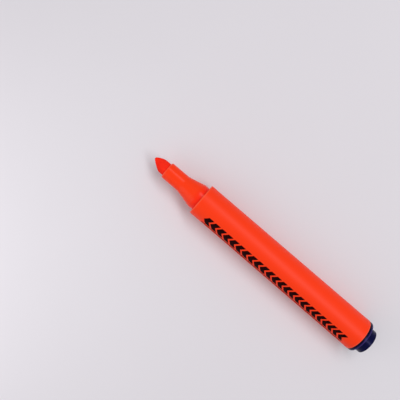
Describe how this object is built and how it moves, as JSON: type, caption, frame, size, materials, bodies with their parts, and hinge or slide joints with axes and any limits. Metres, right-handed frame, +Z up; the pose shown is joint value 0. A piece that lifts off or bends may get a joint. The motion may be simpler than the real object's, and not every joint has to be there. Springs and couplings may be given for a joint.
{
  "type": "marker pen",
  "caption": "Round-barrelled felt marker without its cap: slanted chisel nib in a stepped holder, ink-soaked fibre core inside, and a pull-out plug with a knob in the tail.",
  "frame": {"origin": "on the surface that the pen lies on, under the middle of its length", "axes": "+X along the pen's axis towards the nib, +Z up, +Y to the left when looking along +X"},
  "size_m": [0.1223, 0.0154, 0.0155],
  "materials": {
    "orange_plastic": "satin moulded",
    "navy_plastic": "glossy moulded",
    "nib_felt": "dense felt, soaked in ink",
    "inked_fibre": "bonded fibre, soaked in ink",
    "clear_film": "thin clear film"
  },
  "bodies": {
    "pen": {"barrel": "orange_plastic", "nib_holder": "orange_plastic", "ink_reservoir": "inked_fibre", "reservoir_film": "clear_film"},
    "nib": {"chisel_nib": "nib_felt"},
    "plug": {"end_plug": "navy_plastic"}
  },
  "joints": [
    {"name": "nib_pull", "type": "slide", "parent": "pen", "child": "nib", "axis": [1, 0, 0], "range_m": [0, 0.04]},
    {"name": "plug_pull", "type": "slide", "parent": "pen", "child": "plug", "axis": [-1, 0, 0], "range_m": [0, 0.02]}
  ]
}
